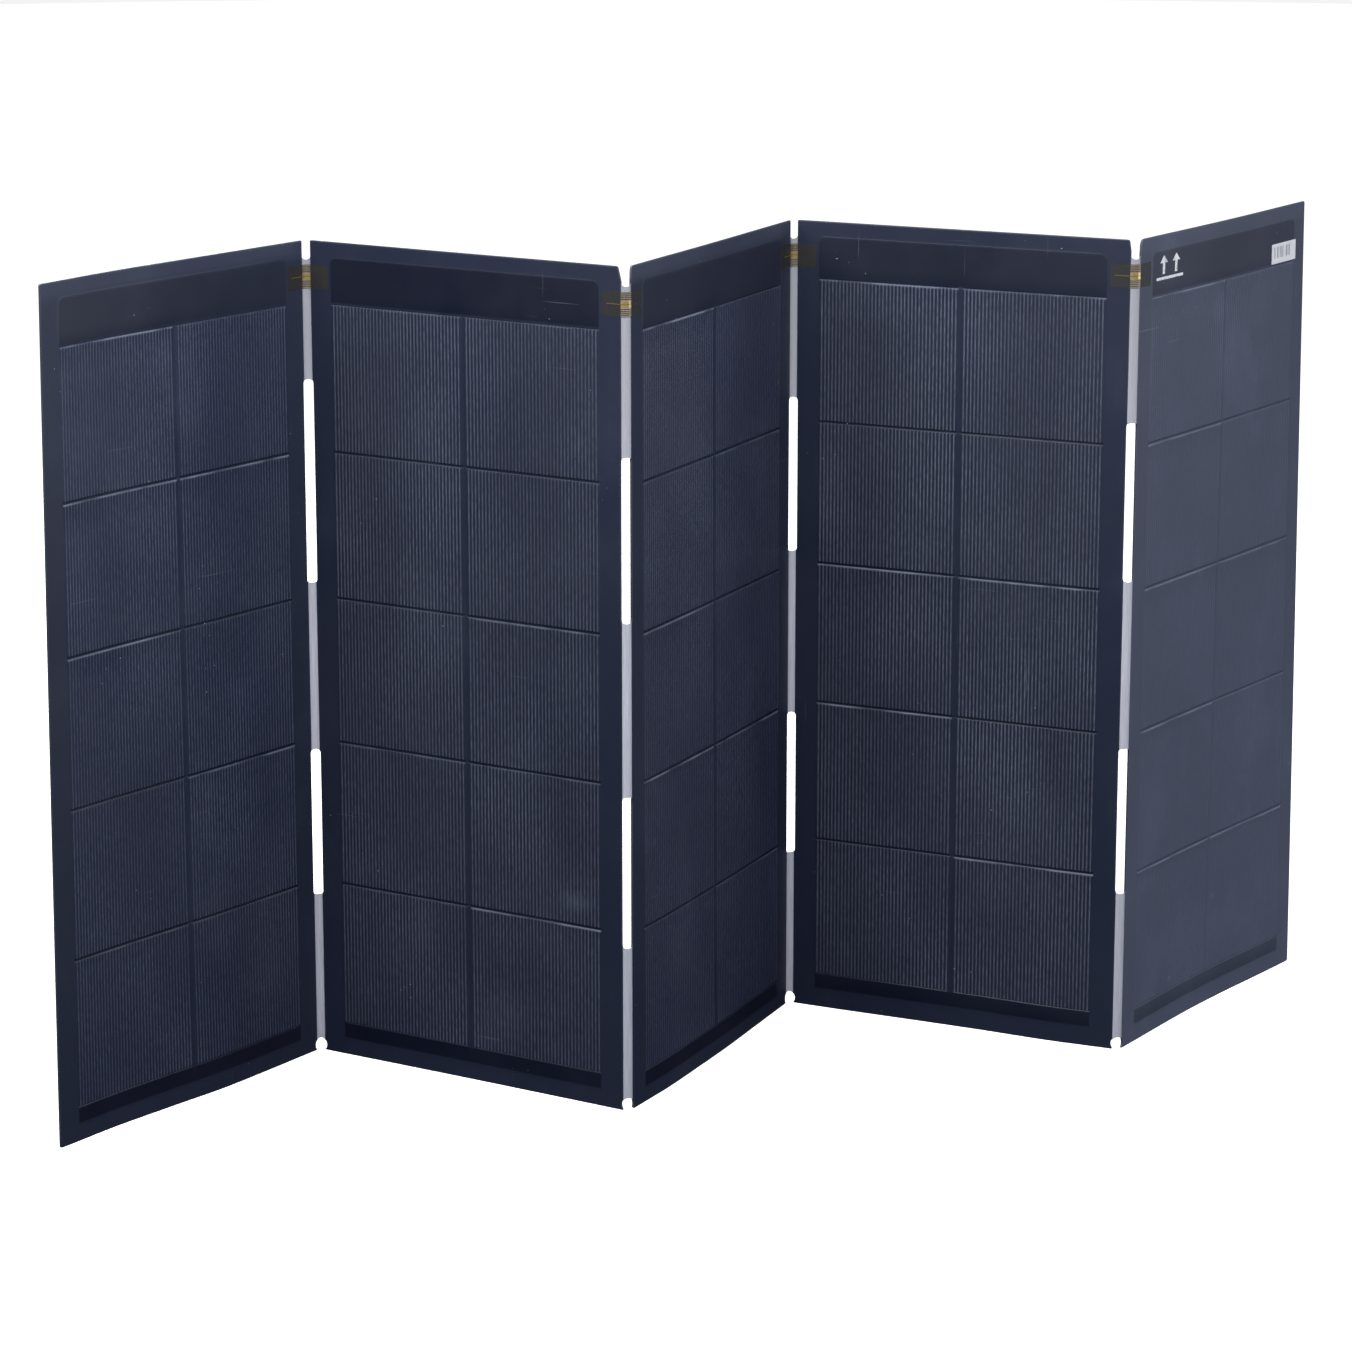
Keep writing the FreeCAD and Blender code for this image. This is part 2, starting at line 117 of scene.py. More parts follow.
def warp(number, x, z):        # how far back the laminate stands at this spot
    bend = warps[number]
    across = min(max(x / panel["width"], 0), 1)
    up = min(max(z / panel["height"], 0), 1)
    held = math.sin(math.pi * across) ** 2
    amount = throughSteps(bend["foot"], across) * (1 - up) ** 2.2
    amount += bend["head"] * held * up ** 2
    free = max(1 - across / .36, 0) ** 1.6 if number == 1 else across ** 2.2
    amount += free * (bend["freeTop"] * up ** 1.3 + bend["freeFoot"] * (1 - up) ** 1.3)
    amount += noise.noise(Vector((x * 7, number * 3.7, z * 5))) * held * .5
    if number == 1:        # the junction box keeps the laminate flat
        away = math.hypot(max(abs(x - boxHold["x"]) - boxHold["halfWide"], 0),
                          max(abs(z - boxHold["z"]) - boxHold["halfTall"], 0))
        amount *= smoothStep(0, boxHold["fade"], away)
    return amount * mm


def makeObject(name, bm, matrix=None, smooth=True, sharpAngle=38):
    bmesh.ops.recalc_face_normals(bm, faces=bm.faces)
    if matrix:
        bm.transform(matrix)
    mesh = bpy.data.meshes.new(name)
    bm.to_mesh(mesh)
    bm.free()
    if smooth:
        mesh.shade_smooth()
        mesh.set_sharp_from_angle(angle=math.radians(sharpAngle))
    obj = bpy.data.objects.new(name, mesh)
    bpy.context.scene.collection.objects.link(obj)
    return obj


def settle(obj, material, body, node=None):        # finish a rigid piece
    obj.data.materials.clear()
    obj.data.materials.append(material)
    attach(obj, body)
    if node:
        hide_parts(node)


def gridSheet(columns, rows):        # a flat sheet with a line at every given x and z
    bm = bmesh.new()
    bmesh.ops.create_grid(bm, x_segments=len(columns) - 1, y_segments=len(rows) - 1, size=1)
    low = min(v.co.x for v in bm.verts)
    span = max(v.co.x for v in bm.verts) - low
    for vert in bm.verts:
        column = round((vert.co.x - low) / span * (len(columns) - 1))
        row = round((vert.co.y - low) / span * (len(rows) - 1))
        vert.co = (columns[column], 0, rows[row])
    return bm


def evenly(low, high, count):
    return [low + (high - low) * i / count for i in range(count + 1)]


def tidyLines(lines, gap=.00012):        # sorted, with near repeats dropped
    kept = []
    for line in sorted(lines):
        if not kept or line - kept[-1] > gap:
            kept.append(line)
    return kept


def slotBite(fold, z):        # how far the openings of a fold cut into a panel's edge at this height
    half = slots["web"] / 2 + slots["bite"]
    deepest = 0
    high = (slots["highStart"], slots["highEnd"][fold - 1])
    for low, top in (slots["low"], high):
        low, top = low - slots["hollow"], top + slots["hollow"]
        if low < z < top:
            inside = min(z - low, top - z, slots["endRadius"])
            rounding = slots["endRadius"] - math.sqrt(inside * (2 * slots["endRadius"] - inside))
            deepest = max(deepest, half - rounding - slots["web"] / 2)
    reach = slots["notchRadius"] ** 2 - (z - slots["notchHeight"]) ** 2
    if reach > 0:
        deepest = max(deepest, math.sqrt(reach) - slots["web"] / 2)
    return deepest


def edgeInset(number, atRight, z):        # how far the outline stands inside the plain rectangle
    fold = number if atRight else number - 1
    height = panel["height"]
    if 1 <= fold < panelCount:
        slant, drop, head, foot = foldCorners[fold][0 if atRight else 1]
        bite = slotBite(fold, z)
    else:
        slant, drop, head, foot, bite = 0, .001, panel["plainCorner"], panel["plainCorner"], 0
    inset = slant * max(0, (z - height + drop) / drop)
    for radius, near in ((head, height - z), (foot, z)):
        if near < radius:
            inset += radius - math.sqrt(max(near * (2 * radius - near), 0))
    return max(inset, bite)


def fitOutline(number, x, z):        # moves points near an upright edge in to the panel's outline
    reach = .016
    width = panel["width"]
    for atRight in (False, True):
        away = width - x if atRight else x
        if away < reach:
            inset = edgeInset(number, atRight, z)
            away = inset + away * (reach - inset) / reach
            x = width - away if atRight else away
    return x, z


def edgeLines(size):        # close lines beside both edges, for the rim and the corners
    steps = [0, .0001, .0004, .0009, .0016, .0026, .0040, .0056, .0072]
    return steps + [size - step for step in steps]


def outlineRows(number):        # where the outline turns: heads, feet and slot ends
    lines = []
    for fold in (number - 1, number):
        if 1 <= fold < panelCount:
            ends = (*slots["low"], slots["highStart"], slots["highEnd"][fold - 1])
            for end, way in zip(ends, (-1, 1, -1, 1)):
                first = end + way * slots["hollow"]
                lines += [first - way * step for step in (0, .0002, .0006, .0014, .0026, .0040)]
            lines += [.0088, .0102, .0114, .0123, .0128]
            lines += [panel["height"] - step for step in (.0095, .012, .014, .016)]
    return lines


def newGroup(name, inputs, outputs):
    tree = bpy.data.node_groups.new(name, "ShaderNodeTree")
    for label, kind, value in inputs:
        socket = tree.interface.new_socket(label, in_out="INPUT", socket_type="NodeSocket" + kind)
        if value is not None:
            socket.default_value = value
    for label, kind in outputs:
        tree.interface.new_socket(label, in_out="OUTPUT", socket_type="NodeSocket" + kind)
    return tree, tree.nodes.new("NodeGroupInput"), tree.nodes.new("NodeGroupOutput")


def addNode(tree, kind, inputs=None, **options):        # inputs are values or sockets
    node = tree.nodes.new("ShaderNode" + kind)
    for key, value in options.items():
        setattr(node, key, value)
    for key, value in (inputs or {}).items():
        if isinstance(value, bpy.types.NodeSocket):
            tree.links.new(value, node.inputs[key])
        else:
            node.inputs[key].default_value = value
    return node


def maths(tree, operation, a, b=0.0, c=0.0, clamp=False):
    node = addNode(tree, "Math", {0: a, 1: b, 2: c}, operation=operation, use_clamp=clamp)
    return node.outputs[0]


def remap(tree, value, low, high, toLow=0.0, toHigh=1.0):
    node = addNode(tree, "MapRange", {"Value": value, "From Min": low, "From Max": high,
                                      "To Min": toLow, "To Max": toHigh})
    return node.outputs["Result"]


def blendColour(tree, share, a, b):
    node = addNode(tree, "Mix", data_type="RGBA")
    factor = node.inputs[0]
    first, second = [s for s in node.inputs if s.type == "RGBA"]
    for socket, value in ((factor, share), (first, a), (second, b)):
        if isinstance(value, bpy.types.NodeSocket):
            tree.links.new(value, socket)
        else:
            socket.default_value = value
    return next(s for s in node.outputs if s.type == "RGBA")


def noiseValue(tree, vector, scale, detail=3.0, roughness=.5):
    node = addNode(tree, "TexNoise", {"Vector": vector, "Scale": scale, "Detail": detail,
                                      "Roughness": roughness})
    return node.outputs[0]


def stretched(tree, vector, scale, turn=0.0):
    node = addNode(tree, "Mapping", {"Vector": vector, "Scale": scale, "Rotation": (0, 0, turn)})
    return node.outputs[0]


def makeDustGroup():        # cloudy smudges, specks and fine scratches as masks
    tree, given, out = newGroup(
        "dustAndScuffs",
        [("Vector", "Vector", None), ("Seed", "Float", 0.0), ("Smudge Size", "Float", 9.0)],
        [("Smudge", "Float"), ("Speck", "Float"), ("Scratch", "Float")])
    shifted = addNode(tree, "VectorMath", {0: given.outputs["Vector"]}, operation="ADD")
    seedVector = addNode(tree, "CombineXYZ", {"X": given.outputs["Seed"], "Z": given.outputs["Seed"]})
    tree.links.new(seedVector.outputs[0], shifted.inputs[1])
    place = shifted.outputs[0]
    broad = noiseValue(tree, place, given.outputs["Smudge Size"], 5.0, .62)
    streaky = noiseValue(tree, stretched(tree, place, (16, 3.5, 1), .25), 1.0, 4.0, .6)
    smudge = maths(tree, "MULTIPLY", remap(tree, broad, .47, .72), remap(tree, streaky, .38, .66))
    tree.links.new(smudge, out.inputs["Smudge"])
    dots = addNode(tree, "TexVoronoi", {"Vector": place, "Scale": 150.0}, feature="F1")
    chance = addNode(tree, "SeparateColor", {0: dots.outputs["Color"]})
    rare = maths(tree, "GREATER_THAN", chance.outputs[0], .72)
    size = maths(tree, "MULTIPLY_ADD", chance.outputs[1], .09, .03)
    near = maths(tree, "LESS_THAN", dots.outputs["Distance"], size)
    clump = maths(tree, "GREATER_THAN", noiseValue(tree, place, 14.0, 3.0), .60)
    speck = maths(tree, "MULTIPLY", maths(tree, "MULTIPLY", rare, near), clump)
    tree.links.new(speck, out.inputs["Speck"])
    line = noiseValue(tree, stretched(tree, place, (9, 420, 1), .62), 1.0, 2.0)
    other = noiseValue(tree, stretched(tree, place, (380, 11, 1), -.35), 1.0, 2.0)
    patch = remap(tree, noiseValue(tree, place, 7.0, 2.0), .52, .66)
    lines = maths(tree, "MAXIMUM", remap(tree, line, .71, .76), remap(tree, other, .72, .77))
    tree.links.new(maths(tree, "MULTIPLY", lines, patch), out.inputs["Scratch"])
    return tree


def makeGrainGroup():        # a fine pebble and a slow wobble, as one height
    tree, given, out = newGroup(
        "filmGrain",
        [("Vector", "Vector", None), ("Fine", "Float", 1500.0), ("Slow", "Float", 14.0),
         ("Slow Share", "Float", 1.0)],
        [("Height", "Float")])
    fine = noiseValue(tree, given.outputs["Vector"], given.outputs["Fine"], 2.0)
    slow = noiseValue(tree, given.outputs["Vector"], given.outputs["Slow"], 2.0)
    slowPart = maths(tree, "MULTIPLY", slow, given.outputs["Slow Share"])
    tree.links.new(maths(tree, "MULTIPLY_ADD", fine, .02, slowPart), out.inputs["Height"])
    return tree


dustGroup = makeDustGroup()
grainGroup = makeGrainGroup()
print("shader groups ready")


def newMaterial(name, colour=(.5, .5, .5, 1), **values):
    material = bpy.data.materials.new(name)
    material.use_nodes = True
    tree = material.node_tree
    shader = tree.nodes["Principled BSDF"]
    shader.inputs["Base Color"].default_value = colour
    for key, value in values.items():
        shader.inputs[key].default_value = value
    return material, tree, shader


def useGroup(tree, group, **inputs):
    node = tree.nodes.new("ShaderNodeGroup")
    node.node_tree = group
    for key, value in inputs.items():
        label = key.replace("_", " ")
        if isinstance(value, bpy.types.NodeSocket):
            tree.links.new(value, node.inputs[label])
        else:
            node.inputs[label].default_value = value
    return node


def addBump(tree, shader, height, strength, distance):
    bump = addNode(tree, "Bump", {"Height": height, "Strength": strength, "Distance": distance})
    tree.links.new(bump.outputs[0], shader.inputs["Normal"])


skinLook = {
    "border": (.0140, .0185, .0375, 1),
    "cell": (.0120, .0157, .038, 1),
    # greyer cell tint, painted reflection: panels 2 and 4 get it in place of the pale reflection they
    # catch
    "grey": (.0150, .0178, .029, 1),
    "cover": (.0050, .0070, .017, 1),
    "gap": (.0050, .0065, .016, 1),
    # the wires' own paler colour, brightened to serve also as painted highlight on the ridges
    "wire": (.110, .125, .175, 1),
    # painted highlight along the raised lips at the cells' upper edges
    "lip": (.20, .225, .29, 1),
    "cloud": (.030, .034, .052, 1),
    # pale dust colour, used also for the painted reflection haze of the veil and foot shares
    "dust": (.145, .168, .240, 1),
    "speck": (.34, .37, .44, 1),
    "worn": (.10, .11, .14, 1),
    "parts": ("blue", "wire", "smudge", "veil", "foot", "head", "band", "seed"),
    "panels": {        # each panel's shares of those, in that order; the blue, wire, veil and foot shares also set each panel's painted reflection and highlight
        1: (1.0, .75, .08, .030, 0, .10, .045, 1.3),
        2: (.4, .85, .06, 0, 0, 0, 0, 4.1),
        3: (1.0, .60, .08, .025, 0, .15, .05, 7.7),
        4: (.3, 1.0, .05, 0, 0, 0, .025, 11.2),
        5: (1.0, .50, .18, .25, .24, .08, 0, 15.9),
    },
    "patches": {        # x, z, half width, half height and strength of dusty spots
        1: ((.290, .110, .050, .060, .05),),
        2: ((.318, .218, .026, .014, .22), (.240, .080, .040, .032, .07),
            (.212, .050, .020, .0016, .35)),
        3: ((.300, .640, .030, .080, .06),),
        4: ((.040, .600, .022, .080, .07),),
        5: ((.150, .085, .130, .045, .10), (.106, .051, .006, .003, .5), (.199, .122, .005, .004, .5)),
    },
}


def dustPatch(tree, plan, spot, broken):        # a soft, broken spot of dust
    x, z, wide, tall, strength = spot
    scaled = addNode(tree, "Mapping", {"Vector": plan, "Location": (-x / wide, -z / tall, 0),
                                       "Scale": (1 / wide, 1 / tall, 1)}).outputs[0]
    away = addNode(tree, "VectorMath", {0: scaled}, operation="LENGTH").outputs["Value"]
    return maths(tree, "MULTIPLY", remap(tree, away, .2, 1.0, strength, 0), broken)


def skinMaterial(number):
    look = skinLook
    tone = dict(zip(look["parts"], look["panels"][number]))
    material, tree, shader = newMaterial("frontFilm%d" % number, IOR=1.33)
    plan = addNode(tree, "UVMap", uv_map="plan").outputs[0]
    masks = {name: addNode(tree, "Attribute", attribute_name=name).outputs["Fac"]
             for name in ("cell", "cover", "wire", "gap", "lip", "rim")}
    patchy = noiseValue(tree, plan, 4.0, 4.0, .6)
    # Painted reflection: a low blue share turns the cells greyer on the panels that catch more pale
    # reflection.
    tinted = blendColour(tree, tone["blue"], look["grey"], look["cell"])
    colour = blendColour(tree, masks["cell"], look["border"], tinted)
    # Wire lines: the real wires under the film, brightened and broken into streaks as painted highlight
    # along the ridges, with per-panel shares that are strongest on panels 2 and 4.
    broken = noiseValue(tree, stretched(tree, plan, (700, 110, 1)), 1.0, 3.0, .6)
    broad = noiseValue(tree, stretched(tree, plan, (9, 5, 1)), 1.0, 3.0)
    wire = maths(tree, "MULTIPLY", remap(tree, broken, .3, .66, .25, 1.0),
                 remap(tree, broad, .35, .65, .55, 1.1))
    wire = maths(tree, "MULTIPLY", wire, masks["wire"])
    wire = maths(tree, "MULTIPLY", wire, tone["wire"], clamp=True)
    colour = blendColour(tree, wire, colour, look["wire"])
    colour = blendColour(tree, masks["cover"], colour, look["cover"])
    colour = blendColour(tree, maths(tree, "MULTIPLY", masks["gap"], .85), colour, look["gap"])
    colour = blendColour(tree, remap(tree, patchy, .35, .7, 0, .25), colour, look["cloud"])
    # Painted highlight: the lip mask, broken up in patches, paints the top-lit upper edge of each cell
    # pale.
    patches = noiseValue(tree, stretched(tree, plan, (26, 9, 1)), 1.0, 2.0)
    edge = maths(tree, "MULTIPLY", masks["lip"], remap(tree, patches, .38, .62, .12, .9))
    colour = blendColour(tree, edge, colour, look["lip"])
    dust = useGroup(tree, dustGroup, Vector=plan, Seed=tone["seed"])
    height = addNode(tree, "SeparateXYZ", {0: plan}).outputs[1]
    head = maths(tree, "MULTIPLY", remap(tree, height, .864, .874, 0, tone["head"]),
                 remap(tree, patchy, .3, .65, .5, 1))
    band = maths(tree, "MULTIPLY", masks["cover"], remap(tree, height, .4, .6, 0, tone["band"]))
    # Real dust (smudges and spots) and painted reflection (veil and foot) are summed and blended towards
    # the pale dust colour; the head and band terms make the top edge and the upper cover band paler.
    dustAndReflection = maths(tree, "MULTIPLY_ADD", dust.outputs["Smudge"], tone["smudge"], head)
    # Painted reflection: an even pale veil, and on panel 5 more towards the foot, stands in for the
    # glancing reflection of the side light.
    veilAndFootReflection = remap(tree, height, 0, panel["height"], tone["veil"] + tone["foot"], tone["veil"])
    dustAndReflection = maths(tree, "ADD", dustAndReflection, veilAndFootReflection)
    dustAndReflection = maths(tree, "MULTIPLY_ADD", dustAndReflection, maths(tree, "MULTIPLY_ADD", masks["cover"], -.4, 1), band)
    torn = noiseValue(tree, stretched(tree, plan, (160, 90, 1)), 1.0, 4.0, .65)
    torn = remap(tree, torn, .3, .7, .15, 1)
    for spot in look["patches"][number]:
        dustAndReflection = maths(tree, "ADD", dustAndReflection, dustPatch(tree, plan, spot, torn))
    colour = blendColour(tree, dustAndReflection, colour, look["dust"])
    marks = maths(tree, "MULTIPLY_ADD", dust.outputs["Scratch"], .3, dust.outputs["Speck"], clamp=True)
    colour = blendColour(tree, maths(tree, "MULTIPLY", marks, .55), colour, look["speck"])
    colour = blendColour(tree, maths(tree, "MULTIPLY", masks["rim"], .3), colour, look["worn"])
    tree.links.new(colour, shader.inputs["Base Color"])
    rough = maths(tree, "MULTIPLY_ADD", dustAndReflection, .6, remap(tree, patchy, .3, .7, .33, .42))
    rough = maths(tree, "MULTIPLY_ADD", masks["cover"], -.05, rough)
    tree.links.new(rough, shader.inputs["Roughness"])
    grain = useGroup(tree, grainGroup, Vector=plan, Slow=11.0, Slow_Share=.5)
    addBump(tree, shader, grain.outputs[0], .6, .0012)
    return material


relief = {
    "rowLead": .0005,        # each row's relief starts this far below its cells
    "border": -.00025, "cover": -.00005, "strip": -.00012,        # rises in metres
    "ridge": .00026, "lip": .00030, "groove": -.00045,
    "wires": 38, "wireMargin": .0022, "wireFoot": .0011, "wireCrown": .0005,
    "gapHalf": .0010, "gapFade": .0016, "lipCrest": .0022, "lipEnd": .0040,
    "cellFade": .0013, "columnGapHalf": .0015, "columnGapFade": .0030, "rim": .00022, "rimWide": .0012,
}


def cellEdges(number):        # (left, low) corner of each cell, with its column and row
    for column in range(panel["columns"]):
        for row in range(panel["rows"]):
            yield (column, row, panel["cellsLeft"] + column * (panel["cellWidth"] + panel["columnGap"]),
                   panel["cellsBottom"][number] + row * panel["rowPitch"])


def coverPlates(number):        # the smooth cover strips above and below the cells
    low = panel["cellsBottom"][number] - .001
    high = panel["cellsBottom"][number] + (panel["rows"] - 1) * panel["rowPitch"] + panel["cellHeight"]
    band = {"low": high + .0018, "high": .8685, "left": .0255, "right": .3495, "radius": .007}
    strip = {"low": low - .016, "high": low, "left": .0265, "right": .3485, "radius": .0012}
    return band, strip


def wirePlaces(left):
    pitch = (panel["cellWidth"] - 2 * relief["wireMargin"]) / (relief["wires"] - 1)
    return [left + relief["wireMargin"] + pitch * i for i in range(relief["wires"])]


def skinColumns(number):
    lines = edgeLines(panel["width"])
    band, strip = coverPlates(number)
    for plate in (band, strip):
        for edge in (plate["left"], plate["right"]):
            lines += [edge - .0008, edge + .0008]
    for step in (.0025, .0045, .0065):
        lines += [band["left"] + step, band["right"] - step]
    for column in range(panel["columns"]):
        left = panel["cellsLeft"] + column * (panel["cellWidth"] + panel["columnGap"])
        right = left + panel["cellWidth"]
        lines += [left - .0012, left, left + .0006, right - .0006, right, right + .0012]
        for wire in wirePlaces(left):
            lines += [wire - relief["wireFoot"], wire - relief["wireCrown"],
                      wire + relief["wireCrown"], wire + relief["wireFoot"]]
    lines += evenly(.009, panel["cellsLeft"] - .0012, 3)
    return tidyLines(lines)


def skinRows(number):
    lines = edgeLines(panel["height"]) + outlineRows(number)
    for row in range(panel["rows"]):
        low = panel["cellsBottom"][number] + row * panel["rowPitch"] - relief["rowLead"]
        high = low + panel["rowPitch"]
        lines += [low, low + relief["gapHalf"], low + relief["gapFade"]]
        lines += evenly(low + .0024, high - relief["lipEnd"], 6)
        lines += [high - .0031, high - relief["lipCrest"], high - relief["gapFade"],
                  high - relief["gapHalf"], high]
    band, strip = coverPlates(number)
    for plate in (band, strip):
        for edge in (plate["low"], plate["high"]):
            lines += [edge - .0007, edge + .0007]
    lines += [band["high"] - step for step in (.0025, .0045, .0065)]
    lines += evenly(band["low"], band["high"], 4)
    return tidyLines(lines)


def plateMask(plate, x, z, soft=.0008):        # 1 inside a plate with rounded upper corners
    middleX, middleZ = (plate["left"] + plate["right"]) / 2, (plate["low"] + plate["high"]) / 2
    radius = plate["radius"] if z > middleZ else min(plate["radius"], .0012)
    dx = abs(x - middleX) - (plate["right"] - plate["left"]) / 2 + radius
    dz = abs(z - middleZ) - (plate["high"] - plate["low"]) / 2 + radius
    away = math.hypot(max(dx, 0), max(dz, 0)) + min(max(dx, dz), 0) - radius
    return 1 - smoothStep(-soft, soft, away)


def skinSpot(number, x, z, lips, shifts, plates):        # rise, masks and sideways shift at a point
    base = {"cell": 0, "wire": 0, "cover": 0, "gap": 0, "lip": 0}
    for column, row, left, low in cellEdges(number):
        low -= relief["rowLead"]
        right, high = left + panel["cellWidth"], low + panel["rowPitch"]
        if not (left - relief["cellFade"] < x < right + relief["cellFade"] and low <= z <= high):
            continue
        side = min(x - left, right - x)
        cell = smoothStep(-relief["cellFade"], 0, side)
        below, above = z - low, high - z
        inner = smoothStep(relief["gapHalf"], relief["gapFade"], min(below, above))
        # The wire mask raises the ridges and also carries the wires' colour, which is partly painted
        # highlight, in the skin material.
        nearest = min(abs(x - place) for place in wirePlaces(left))
        wire = (1 - smoothStep(relief["wireCrown"], relief["wireFoot"], nearest)) * inner * (side > 0)
        # The lip mask raises the cell's upper edge and also carries the painted highlight on it in the
        # skin material.
        lip = smoothStep(relief["gapHalf"], relief["lipCrest"], above)
        lip *= 1 - smoothStep(relief["lipCrest"], relief["lipEnd"], above)
        lip *= lips[column][row] * cell
        gap = 1 - smoothStep(relief["gapHalf"], relief["gapFade"], min(below, above))
        if row == 0:
            gap *= smoothStep(.0002, .0004, below) if below < above else 1
        rise = relief["border"] * (1 - cell) + relief["ridge"] * wire * (1 - .5 * lip)
        rise += relief["lip"] * lip + relief["groove"] * gap * cell
        base.update(cell=cell * inner, wire=wire, gap=gap * cell, lip=lip)
        return rise, base, shifts[column][row] * inner * (side > .0005)
    cover, strip = (plateMask(plate, x, z) for plate in plates)
    rise = relief["border"] + (relief["cover"] - relief["border"]) * cover
    rise += (relief["strip"] - relief["border"]) * strip
    base["cover"] = max(cover, strip)
    middle = panel["cellsLeft"] + panel["cellWidth"] + panel["columnGap"] / 2
    low = panel["cellsBottom"][number]
    if low < z < low + panel["rows"] * panel["rowPitch"]:
        base["gap"] = 1 - smoothStep(relief["columnGapHalf"], relief["columnGapFade"], abs(x - middle))
    return rise, base, 0


raisedLips = {        # column, row and strength of the cells whose upper edge stands proud; the strength also scales the painted highlight along that edge
    1: ((0, 4, .8), (0, 3, 1), (1, 3, 1), (0, 2, .9), (1, 1, .7), (0, 0, .3)),
    2: ((0, 4, .2), (1, 2, .6), (1, 0, .9), (0, 1, .3)),
    3: ((0, 4, 1), (1, 3, .3), (0, 2, .7), (0, 1, .8), (1, 1, .6)),
    4: ((0, 4, .7), (1, 4, .4), (0, 2, 1), (1, 2, .9), (0, 1, 1), (1, 0, 1)),
    5: ((0, 4, .8), (0, 3, .9), (0, 2, .9), (1, 2, .7), (0, 1, 1), (0, 0, 1), (1, 0, 1)),
}


def makeSkin(number):
    dice = random.Random(40 + number)
    columns, rows = range(panel["columns"]), range(panel["rows"])
    lips = [[dice.uniform(.05, .25) for row in rows] for column in columns]
    for column, row, share in raisedLips[number]:
        lips[column][row] = share
    shifts = [[dice.uniform(-.0004, .0004) for row in rows] for column in columns]
    bm = gridSheet(skinColumns(number), skinRows(number))
    plates = coverPlates(number)
    names = ("cell", "wire", "cover", "gap", "lip")
    layers = {name: bm.verts.layers.float.new(name) for name in (*names, "rim")}
    plan = bm.loops.layers.uv.new("plan")
    for face in bm.faces:
        for loop in face.loops:
            loop[plan].uv = (loop.vert.co.x, loop.vert.co.z)
    for vert in bm.verts:
        x, z = vert.co.x, vert.co.z
        rise, masks, shift = skinSpot(number, x, z, lips, shifts, plates)
        rim = min(x, panel["width"] - x, z, panel["height"] - z)
        worn = 1 - smoothStep(0, relief["rimWide"], rim)
        rise -= relief["rim"] * worn
        for name in names:
            vert[layers[name]] = masks[name]
        vert[layers["rim"]] = worn
        x, z = fitOutline(number, x + shift, z)
        vert.co = (x, warp(number, x, z) - rise, z)
    shell = bmesh.ops.extrude_face_region(bm, geom=bm.faces[:], use_keep_orig=True)["geom"]
    for vert in (g for g in shell if isinstance(g, bmesh.types.BMVert)):
        vert.co.y = warp(number, vert.co.x, vert.co.z) + panel["skinBack"]
        vert[layers["wire"]] = 0
    return makeObject("frontSkin%d" % number, bm, panelPlaces[number])


for number in range(1, panelCount + 1):
    settle(makeSkin(number), skinMaterial(number), "panel_%d" % number,
           "front_sheet_%d" % number)
print("front skins done")


layerCuts = {"step": .0125, "fineStep": .004, "fineBelow": .06}        # narrow layers are cut closer


def layerCopy(node, number):        # the node's own shape, following the panel's warp
    bm = bmesh.new()
    bm.from_mesh(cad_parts[node].data)
    bmesh.ops.remove_doubles(bm, verts=bm.verts, dist=1e-6)
    bm.transform(panelPlaces[number].inverted())
    wide = max(v.co.x for v in bm.verts) - min(v.co.x for v in bm.verts)
    step = layerCuts["step"] if wide > layerCuts["fineBelow"] else layerCuts["fineStep"]
    for axis in (0, 2):
        low = min(v.co[axis] for v in bm.verts)
        high = max(v.co[axis] for v in bm.verts)
        place = math.floor(low / step) * step + step
        while place < high:
            spot, normal = Vector(), Vector()
            spot[axis], normal[axis] = place, 1
            bmesh.ops.bisect_plane(bm, geom=bm.verts[:] + bm.edges[:] + bm.faces[:], dist=1e-6,
                                   plane_co=spot, plane_no=normal)
            place += step
    for vert in bm.verts:
        vert.co.y += warp(number, vert.co.x, vert.co.z)
    return bm


def makeLayer(node, number, material):
    settle(makeObject(node + "Layer", layerCopy(node, number), panelPlaces[number]), material,
           "panel_%d" % number, node)


def plainFinish(name, colour, second, roughness, metallic=0.0, scale=60.0, height=.15):
    material, tree, shader = newMaterial(name, colour, Metallic=metallic)
    place = addNode(tree, "TexCoord").outputs["Object"]
    cloud = noiseValue(tree, place, scale, 4.0, .6)
    tree.links.new(blendColour(tree, remap(tree, cloud, .35, .7), colour, second),
                   shader.inputs["Base Color"])
    tree.links.new(remap(tree, cloud, .3, .7, roughness, roughness + .15), shader.inputs["Roughness"])
    grain = useGroup(tree, grainGroup, Vector=place)
    addBump(tree, shader, grain.outputs[0], height, .0004)
    return material


layerFinishes = {
    "encapsulant": plainFinish("encapsulant", (.05, .055, .07, 1), (.075, .08, .095, 1), .3),
    "cells": plainFinish("siliconCell", (.008, .011, .026, 1), (.014, .018, .040, 1), .25),
    "wire_foils": plainFinish("wireFoil", (.16, .17, .20, 1), (.24, .25, .28, 1), .3, .4),
    "busbar_ribbons": plainFinish("tinnedCopper", (.55, .56, .58, 1), (.42, .40, .38, 1), .3, 1.0),
    "bypass_diodes": plainFinish("diodeCase", (.02, .02, .022, 1), (.035, .035, .037, 1), .45),
    "cover_strips": plainFinish("coverFilm", (.012, .013, .02, 1), (.02, .021, .03, 1), .4),
}
for number in range(1, panelCount + 1):
    for name, finish in layerFinishes.items():
        makeLayer("%s_%d" % (name, number), number, finish)
print("inner layers done")


